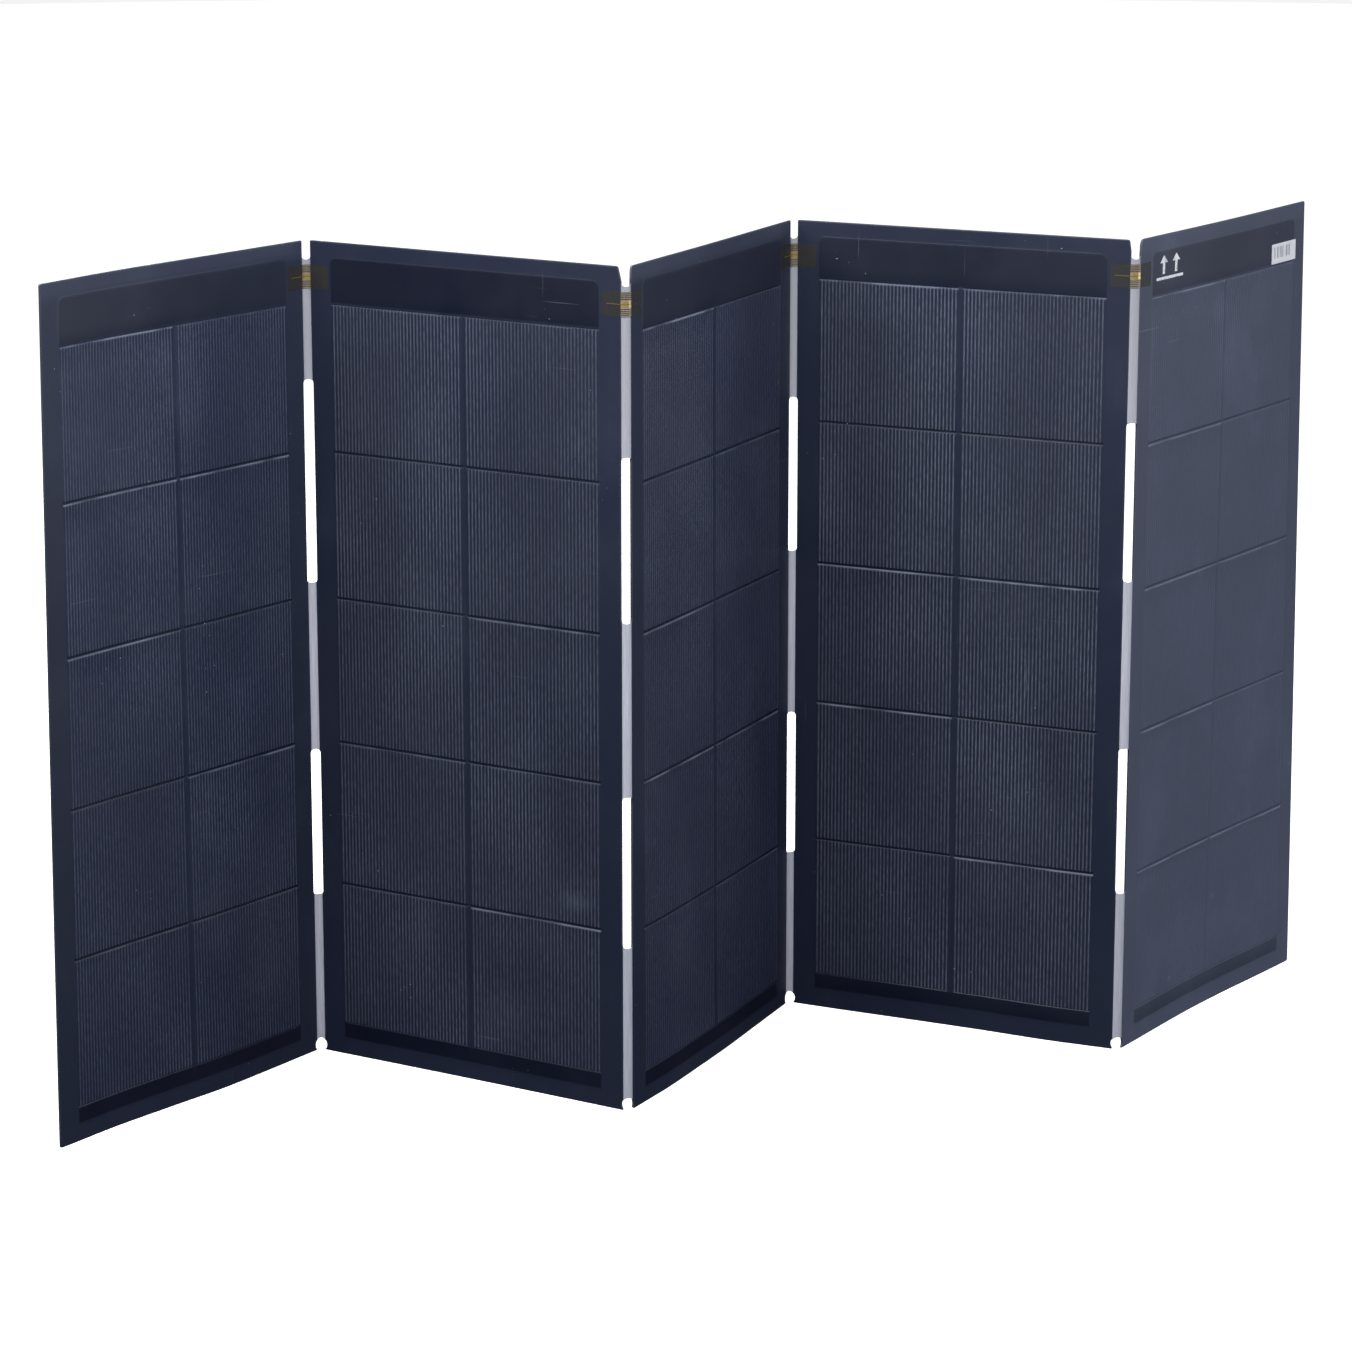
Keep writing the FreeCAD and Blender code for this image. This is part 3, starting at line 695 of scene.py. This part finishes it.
boardSettings = {"front": .00095, "back": .00245, "step": .0125, "printThrough": .00008,
                 "lineHalf": .0006, "lineSide": .0018, "lineClear": .0035,
                 "rimDrop": .0003, "rimWide": .0012,
                 "colour": (.016, .017, .020, 1), "resin": (.028, .030, .036, 1),
                 "dust": (.30, .31, .33, 1), "weavePitch": .0011}


def boardLines(size, cellLines):
    lines = edgeLines(size) + evenly(.009, size - .009, round(size / boardSettings["step"]))
    for line in cellLines:
        lines = [l for l in lines if abs(l - line) > boardSettings["lineClear"]]
        lines += [line - boardSettings["lineSide"], line, line + boardSettings["lineSide"]]
    return tidyLines(lines, .0003)


def makeBoard(number):
    gapsX = [panel["cellsLeft"], panel["cellsLeft"] + panel["cellWidth"] + panel["columnGap"] / 2,
             panel["width"] - panel["cellsLeft"]]
    gapsZ = [panel["cellsBottom"][number] + panel["rowPitch"] * row for row in range(panel["rows"] + 1)]
    rows = tidyLines(boardLines(panel["height"], gapsZ) + outlineRows(number))
    bm = gridSheet(boardLines(panel["width"], gapsX), rows)
    plan = bm.loops.layers.uv.new("plan")
    for face in bm.faces:
        for loop in face.loops:
            loop[plan].uv = (loop.vert.co.x, loop.vert.co.z)
    spots = {v: (v.co.x, v.co.z) for v in bm.verts}
    for vert in bm.verts:
        x, z = fitOutline(number, *spots[vert])
        vert.co = (x, warp(number, x, z) + boardSettings["front"], z)
    rear = bmesh.ops.extrude_face_region(bm, geom=bm.faces[:], use_keep_orig=True)["geom"]
    for vert in (g for g in rear if isinstance(g, bmesh.types.BMVert)):
        x, z = vert.co.x, vert.co.z
        depth = boardSettings["back"]
        inside = gapsX[0] - .001 < x < gapsX[-1] + .001 and gapsZ[0] - .001 < z < gapsZ[-1] + .001
        near = min(min(abs(x - g) for g in gapsX), min(abs(z - g) for g in gapsZ))
        if inside and near < boardSettings["lineHalf"]:
            depth -= boardSettings["printThrough"]
        rim = min(x, panel["width"] - x, z, panel["height"] - z)
        depth -= boardSettings["rimDrop"] * (1 - smoothStep(0, boardSettings["rimWide"], rim))
        vert.co.y = warp(number, x, z) + depth
    return makeObject("backBoard%d" % number, bm, panelPlaces[number])


def boardMaterial(number):        # black glass fibre, its cloth just visible under the resin
    look = boardSettings
    material, tree, shader = newMaterial("backLaminate%d" % number, look["colour"])
    plan = addNode(tree, "UVMap", uv_map="plan").outputs[0]
    parts = addNode(tree, "SeparateXYZ", {0: plan})
    threads = math.pi / look["weavePitch"]
    waves = [maths(tree, "SINE", maths(tree, "MULTIPLY", parts.outputs[axis], threads))
             for axis in (0, 1)]
    weave = maths(tree, "MULTIPLY", *waves)
    cloud = noiseValue(tree, plan, 5.0, 5.0, .6)
    colour = blendColour(tree, remap(tree, weave, -1, 1, 0, .8), look["colour"], look["resin"])
    colour = blendColour(tree, remap(tree, cloud, .35, .75, 0, .35), colour, (.035, .037, .043, 1))
    dust = useGroup(tree, dustGroup, Vector=plan, Seed=30.0 + number, Smudge_Size=5.0)
    dirt = maths(tree, "MULTIPLY", dust.outputs["Smudge"], .16)
    dirt = maths(tree, "MULTIPLY_ADD", dust.outputs["Speck"], .4, dirt)
    dirt = maths(tree, "MULTIPLY_ADD", dust.outputs["Scratch"], .22, dirt, clamp=True)
    colour = blendColour(tree, dirt, colour, look["dust"])
    tree.links.new(colour, shader.inputs["Base Color"])
    rough = maths(tree, "MULTIPLY_ADD", dirt, .5, remap(tree, cloud, .3, .7, .42, .56))
    tree.links.new(rough, shader.inputs["Roughness"])
    addBump(tree, shader, weave, .35, .00012)
    return material


for number in range(1, panelCount + 1):
    settle(makeBoard(number), boardMaterial(number), "panel_%d" % number,
           "back_board_%d" % number)
print("back boards done")


def edgePlace(fold, atFar, depth):        # a fold's panel edge, and the way along that panel
    place = panelPlaces[fold + 1 if atFar else fold]
    return place @ Vector((0 if atFar else panel["width"], depth, 0)), place.col[0].to_3d()


def bridgeSpot(fold, q, depth, z):        # q: metres before the bend, 0 to 1 over it, then metres after
    near, away = edgePlace(fold, False, depth)
    far, onward = edgePlace(fold, True, depth)
    if q < 0:
        back = panelPlaces[fold].col[1].to_3d()
        spot = near + away * q + back * warp(fold, panel["width"] + q, z)
    elif q > 1:
        back = panelPlaces[fold + 1].col[1].to_3d()
        spot = far + onward * (q - 1) + back * warp(fold + 1, q - 1, z)
    else:
        turn = away.angle(onward)
        radius = (far - near).length / 2 / math.sin(turn / 2)
        inward = (onward - away * away.dot(onward)).normalized()
        spot = near + away * radius * math.sin(turn * q) + inward * radius * (1 - math.cos(turn * q))
    return Vector((spot.x, spot.y, z))


def hollowCut(hollow, half, t):        # a circular end, cut in by hollow at the middle of the gap
    radius = (half ** 2 + hollow ** 2) / (2 * hollow)
    return math.sqrt(max(radius ** 2 - (t * half) ** 2, 0)) - radius + hollow


def bridgeSheet(bm, fold, columns, depth, thickness, low, high, rowCount, hollows=None):
    part = gridSheet(columns, evenly(0, 1, rowCount))
    along = part.loops.layers.uv.new("plan")
    for face in part.faces:
        for loop in face.loops:
            q = loop.vert.co.x
            loop[along].uv = (q * .01 if 0 <= q <= 1 else (q if q < 0 else q - .99),
                              low + (high - low) * loop.vert.co.z)
    shares = {v: (v.co.x, v.co.z) for v in part.verts}
    rear = bmesh.ops.extrude_face_region(part, geom=part.faces[:], use_keep_orig=True)["geom"]
    layers = [(vert, share, depth) for vert, share in shares.items()]
    layers += [(g, (g.co.x, g.co.z), depth + thickness) for g in rear
               if isinstance(g, bmesh.types.BMVert)]
    for vert, (q, share), level in layers:
        first, last = low, high
        if hollows and 0 < q < 1:
            first += hollowCut(hollows[0], slots["web"] / 2, 2 * q - 1)
            last -= hollowCut(hollows[1], slots["web"] / 2, 2 * q - 1)
        vert.co = bridgeSpot(fold, q, level, first + (last - first) * share)
    mesh = bpy.data.meshes.new("part")
    part.to_mesh(mesh)
    part.free()
    bm.from_mesh(mesh)
    bpy.data.meshes.remove(mesh)


def bendColumns(count):        # closer together at both ends of the bend
    return [(1 - math.cos(math.pi * i / count)) / 2 for i in range(count + 1)]


def blendOver(obj):
    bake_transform(obj)


filmSettings = {"depth": .00068, "thickness": .00028, "tongue": .0076,
                "low": .0106, "high": .868, "footHollow": .0028, "headHollow": .0035,
                "colour": (.43, .44, .50, 1), "pale": (.56, .57, .63, 1),
                "grey": (.26, .27, .30, 1)}


def filmMaterial():        # frosted, with streaks along the fold
    look = filmSettings
    material, tree, shader = newMaterial("frostedFilm", look["colour"])
    plan = addNode(tree, "UVMap", uv_map="plan").outputs[0]
    streaks = noiseValue(tree, stretched(tree, plan, (1500, 22, 1)), 1.0, 3.0, .6)
    cloud = noiseValue(tree, plan, 30.0, 3.0)
    height = addNode(tree, "SeparateXYZ", {0: plan}).outputs[1]
    aged = remap(tree, height, .45, .86, 0, .9)        # greyer towards the head
    frost = blendColour(tree, remap(tree, streaks, .35, .7), look["colour"], look["pale"])
    tree.links.new(blendColour(tree, aged, frost, look["grey"]), shader.inputs["Base Color"])
    tree.links.new(remap(tree, cloud, .3, .7, .38, .6), shader.inputs["Roughness"])
    tree.links.new(remap(tree, streaks, .3, .75, .86, .97), shader.inputs["Alpha"])
    addBump(tree, shader, streaks, .25, .0002)
    return material


flexSettings = {"depth": .00004, "thickness": .00012, "low": .8345, "high": .8595, "tail": .022,
                "colour": (.046, .042, .034, 1), "bare": (.27, .23, .175, 1),
                "thin": (.075, .060, .040, 1),
                "middle": .847, "padTall": .0066, "lineTall": .0007, "lineTail": .017,
                "thinTall": .0009, "thinPitch": .0019, "thinFirst": .0050,
                "gold": (.58, .45, .18, 1), "dark": (.030, .022, .012, 1)}


def flexMaterial():
    look = flexSettings
    material, tree, shader = newMaterial("polyimide", look["colour"], Roughness=.38)
    plan = addNode(tree, "UVMap", uv_map="plan").outputs[0]
    parts = addNode(tree, "SeparateXYZ", {0: plan})
    turns = 2 * math.pi / look["thinPitch"]
    lines = maths(tree, "SINE", maths(tree, "MULTIPLY", parts.outputs[1], turns))
    cloud = noiseValue(tree, plan, 120.0, 3.0)
    bare = addNode(tree, "Attribute", attribute_name="bare").outputs["Fac"]        # over the open gap
    openPart = blendColour(tree, remap(tree, lines, -.4, .9), look["bare"], look["thin"])
    tree.links.new(blendColour(tree, bare, look["colour"], openPart), shader.inputs["Base Color"])
    tree.links.new(maths(tree, "MULTIPLY_ADD", bare, .58, remap(tree, cloud, .3, .7, .27, .38)),
                   shader.inputs["Alpha"])
    addBump(tree, shader, lines, .3, .0001)
    return material


def copperMaterial():
    look = flexSettings
    material, tree, shader = newMaterial("traceCopper", look["gold"], Roughness=.36)
    mask = addNode(tree, "Attribute", attribute_name="gold").outputs["Fac"]
    plan = addNode(tree, "UVMap", uv_map="plan").outputs[0]
    cloud = noiseValue(tree, plan, 400.0, 3.0)
    bright = blendColour(tree, remap(tree, cloud, .3, .7), look["gold"], (.45, .33, .13, 1))
    tree.links.new(blendColour(tree, mask, look["dark"], bright), shader.inputs["Base Color"])
    tree.links.new(maths(tree, "MULTIPLY", mask, .75), shader.inputs["Metallic"])
    return material


def makeTraces(fold):
    look = flexSettings
    bm = bmesh.new()
    gold = bm.verts.layers.float.new("gold")
    depth, thickness = look["depth"] - .00006, .00005
    tail = [-.0002] + bendColumns(16) + [1.0002]
    longTail = [-look["lineTail"], -.011, -.006] + tail
    middle = look["middle"]
    pad, line, thin = (look[name] / 2 for name in ("padTall", "lineTall", "thinTall"))
    bridgeSheet(bm, fold, tail, depth, thickness, middle - pad, middle + pad, 2)
    for vert in bm.verts:
        vert[gold] = 1
    bridgeSheet(bm, fold, longTail, depth - .00006, thickness, middle - line, middle + line, 1)
    for vert in bm.verts:
        vert[gold] = max(vert[gold], .22)
    for side in (-1, 1):
        for step in range(4):
            z = middle + side * (look["thinFirst"] + step * look["thinPitch"])
            bridgeSheet(bm, fold, tail, depth, thickness, z - thin, z + thin, 1)
    return makeObject("flexTraces%d" % fold, bm)


def makeFold(fold):
    look = filmSettings
    hollow = slots["hollow"]
    parts = ((look["low"], slots["low"][0], look["footHollow"], hollow),
             (slots["low"][1], slots["highStart"], hollow, hollow),
             (slots["highEnd"][fold - 1], look["high"], hollow, look["headHollow"]))
    bm = bmesh.new()
    columns = [-look["tongue"], -.003] + bendColumns(20) + [1.003, 1 + look["tongue"]]
    for start, end, *hollows in parts:
        rows = max(round((end - start) / .012), 4)
        bridgeSheet(bm, fold, columns, look["depth"], look["thickness"], start, end, rows, hollows)
    settleOver(makeObject("hingeFilm%d" % fold, bm), hingeFilmLook,
               "hinge_film_%d" % fold)
    flex = flexSettings
    bm = bmesh.new()
    steps = (.0005, .008, .016, flex["tail"])
    columns = [-step for step in reversed(steps)] + bendColumns(20) + [1 + step for step in steps]
    bare = bm.verts.layers.float.new("bare")
    bridgeSheet(bm, fold, columns, flex["depth"], flex["thickness"], flex["low"], flex["high"], 4)
    near, far = (edgePlace(fold, side, flex["depth"])[0] for side in (False, True))
    middle, half = (near + far) / 2, (far - near).length / 2
    for vert in bm.verts:
        vert[bare] = abs((vert.co - middle).dot((far - near).normalized())) < half + .0002
    settleOver(makeObject("flexStrip%d" % fold, bm), polyimideLook,
               "flex_circuit_%d" % fold)
    settleOver(makeTraces(fold), traceLook, "flex_copper_%d" % fold)


def settleOver(obj, material, node):        # finish a piece laid across a fold
    obj.data.materials.append(material)
    blendOver(obj)
    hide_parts(node)


hingeFilmLook, polyimideLook, traceLook = filmMaterial(), flexMaterial(), copperMaterial()
for fold in range(1, panelCount):
    makeFold(fold)
print("film hinges and flexible circuits done")


labelSettings = {"middle": (.324, .8352), "barsWide": .0245, "barsTall": .0062}


def labelMaterial():
    material, tree, shader = newMaterial("labelPaper", (.72, .73, .74, 1), Roughness=.5)
    plan = addNode(tree, "UVMap", uv_map="plan").outputs[0]
    bars = noiseValue(tree, stretched(tree, plan, (620, 0, 1)), 1.0, 1.0)
    bars = maths(tree, "GREATER_THAN", bars, .54)
    parts = addNode(tree, "SeparateXYZ", {0: plan})
    ink = bars
    for axis, half in ((0, labelSettings["barsWide"]), (1, labelSettings["barsTall"])):
        away = maths(tree, "SUBTRACT", parts.outputs[axis], labelSettings["middle"][axis])
        ink = maths(tree, "MULTIPLY", ink, maths(tree, "LESS_THAN", maths(tree, "ABSOLUTE", away), half))
    scuff = noiseValue(tree, plan, 80.0, 4.0, .6)
    paper = blendColour(tree, remap(tree, scuff, .4, .7, 0, .5), (.72, .73, .74, 1), (.55, .56, .58, 1))
    tree.links.new(blendColour(tree, ink, paper, (.10, .10, .11, 1)), shader.inputs["Base Color"])
    return material


def printMaterial():
    material, tree, shader = newMaterial("whiteInk", (.70, .72, .74, 1), Roughness=.55)
    place = addNode(tree, "TexCoord").outputs["Object"]
    worn = noiseValue(tree, place, 260.0, 4.0, .65)
    ink = blendColour(tree, remap(tree, worn, .5, .72, 0, .8), (.70, .72, .74, 1), (.16, .17, .22, 1))
    tree.links.new(ink, shader.inputs["Base Color"])
    return material


def makeMark(node, material):
    bm = layerCopy(node, 5)
    plan = bm.loops.layers.uv.new("plan")
    for face in bm.faces:
        for loop in face.loops:
            loop[plan].uv = (loop.vert.co.x, loop.vert.co.z)
    settle(makeObject(node + "Print", bm, panelPlaces[5], smooth=False), material, "panel_5",
           node)


makeMark("label", labelMaterial())
makeMark("up_marks", printMaterial())
print("printed marks done")


boxFinishes = {
    "black_housing": plainFinish("blackHousing", (.018, .018, .020, 1), (.034, .034, .037, 1),
                                 .42, 0, 90, .6),
    "gasket_rubber": plainFinish("gasketRubber", (.012, .012, .012, 1), (.03, .03, .03, 1), .7),
    "zinc_steel": plainFinish("zincSteel", (.56, .56, .54, 1), (.38, .37, .33, 1), .28, 1.0, 400),
    "socket_metal": plainFinish("socketMetal", (.50, .50, .51, 1), (.36, .36, .37, 1), .25, 1.0, 300),
}
boxNodes = {"junction_box": "black_housing", "junction_box_lid": "black_housing",
            "terminal_block": "black_housing", "lid_gasket": "gasket_rubber",
            "lid_screws": "zinc_steel", "output_socket": "socket_metal"}
for node, finish in boxNodes.items():
    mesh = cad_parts[node].data
    mesh.materials.clear()
    mesh.materials.append(boxFinishes[finish])
print("junction box finished")


cameraSettings = {
    "place": (-1.7554, -3.6937, 1.4666), "turn": -24.8, "down": 12.04,
    "lens": 105.63, "shift": -.12,
}


def makeCamera():
    data = bpy.data.cameras.new("camera")
    data.sensor_width = 36
    data.lens = cameraSettings["lens"]
    data.shift_y = cameraSettings["shift"]
    data.clip_end = 60
    camera = bpy.data.objects.new("camera", data)
    camera.location = cameraSettings["place"]
    camera.rotation_euler = (math.radians(90 - cameraSettings["down"]), 0,
                             math.radians(cameraSettings["turn"]))
    bpy.context.scene.collection.objects.link(camera)
    bpy.context.scene.camera = camera


lightSettings = {        # place, aim, width, height and watts
    "key": ((-.35, -1.00, 1.95), (-.05, .1, .80), 2.3, .6, 50),
    "side": ((2.9, -1.5, .9), (.2, 0, .45), 1.3, 1.6, 26),
    "left": ((-3.2, -.95, 2.2), (0, 0, .8), 1.2, 1.2, 56),
    "back": ((-.6, 3.0, 1.9), (0, .1, .45), 2.4, 1.2, 90),
}
studio = {"above": (.26, .29, .38, 1), "below": (.006, .007, .010, 1), "low": -.28, "high": .06,
          "strength": 1.0, "backdrop": (.90, .905, .91, 1), "floor": (.80, .80, .80, 1),
          "glow": (1, .98, .93, 1), "glowStrength": .88}


def makeLights():
    for name, (place, aim, wide, tall, power) in lightSettings.items():
        data = bpy.data.lights.new(name, "AREA")
        data.shape = "RECTANGLE"
        data.size, data.size_y = wide, tall
        data.energy = power
        light = bpy.data.objects.new(name, data)
        light.location = place
        light.visible_camera = False
        light.rotation_euler = (Vector(aim) - Vector(place)).to_track_quat("-Z", "Y").to_euler()
        bpy.context.scene.collection.objects.link(light)
    world = bpy.data.worlds.new("studio")
    bpy.context.scene.world = world
    world.use_nodes = True
    tree = world.node_tree
    backdrop = tree.nodes["Background"]
    way = addNode(tree, "SeparateXYZ", {0: addNode(tree, "TexCoord").outputs["Generated"]})
    rise = remap(tree, way.outputs[2], studio["low"], studio["high"])
    room = blendColour(tree, rise, studio["below"], studio["above"])
    seen = addNode(tree, "LightPath").outputs["Is Camera Ray"]
    tree.links.new(blendColour(tree, seen, room, studio["backdrop"]), backdrop.inputs["Color"])
    backdrop.inputs["Strength"].default_value = studio["strength"]


def makeFloor():
    bm = bmesh.new()
    bmesh.ops.create_circle(bm, cap_ends=True, segments=96, radius=14)
    material, tree, shader = newMaterial("studioFloor", studio["floor"], Roughness=.7)
    shader.inputs["Emission Color"].default_value = studio["glow"]
    shader.inputs["Emission Strength"].default_value = studio["glowStrength"]
    place = addNode(tree, "TexCoord").outputs["Object"]
    rough = remap(tree, noiseValue(tree, place, 3.0), .3, .7, .65, .8)
    tree.links.new(rough, shader.inputs["Roughness"])
    floor = makeObject("floor", bm, smooth=False)
    floor.data.materials.append(material)
    floor.visible_glossy = False        # the matt front film shows no floor
    floor.visible_diffuse = False


bpy.context.scene.view_settings.view_transform = "Standard"
makeCamera()
makeLights()
makeFloor()
print("camera, floor and lights done")
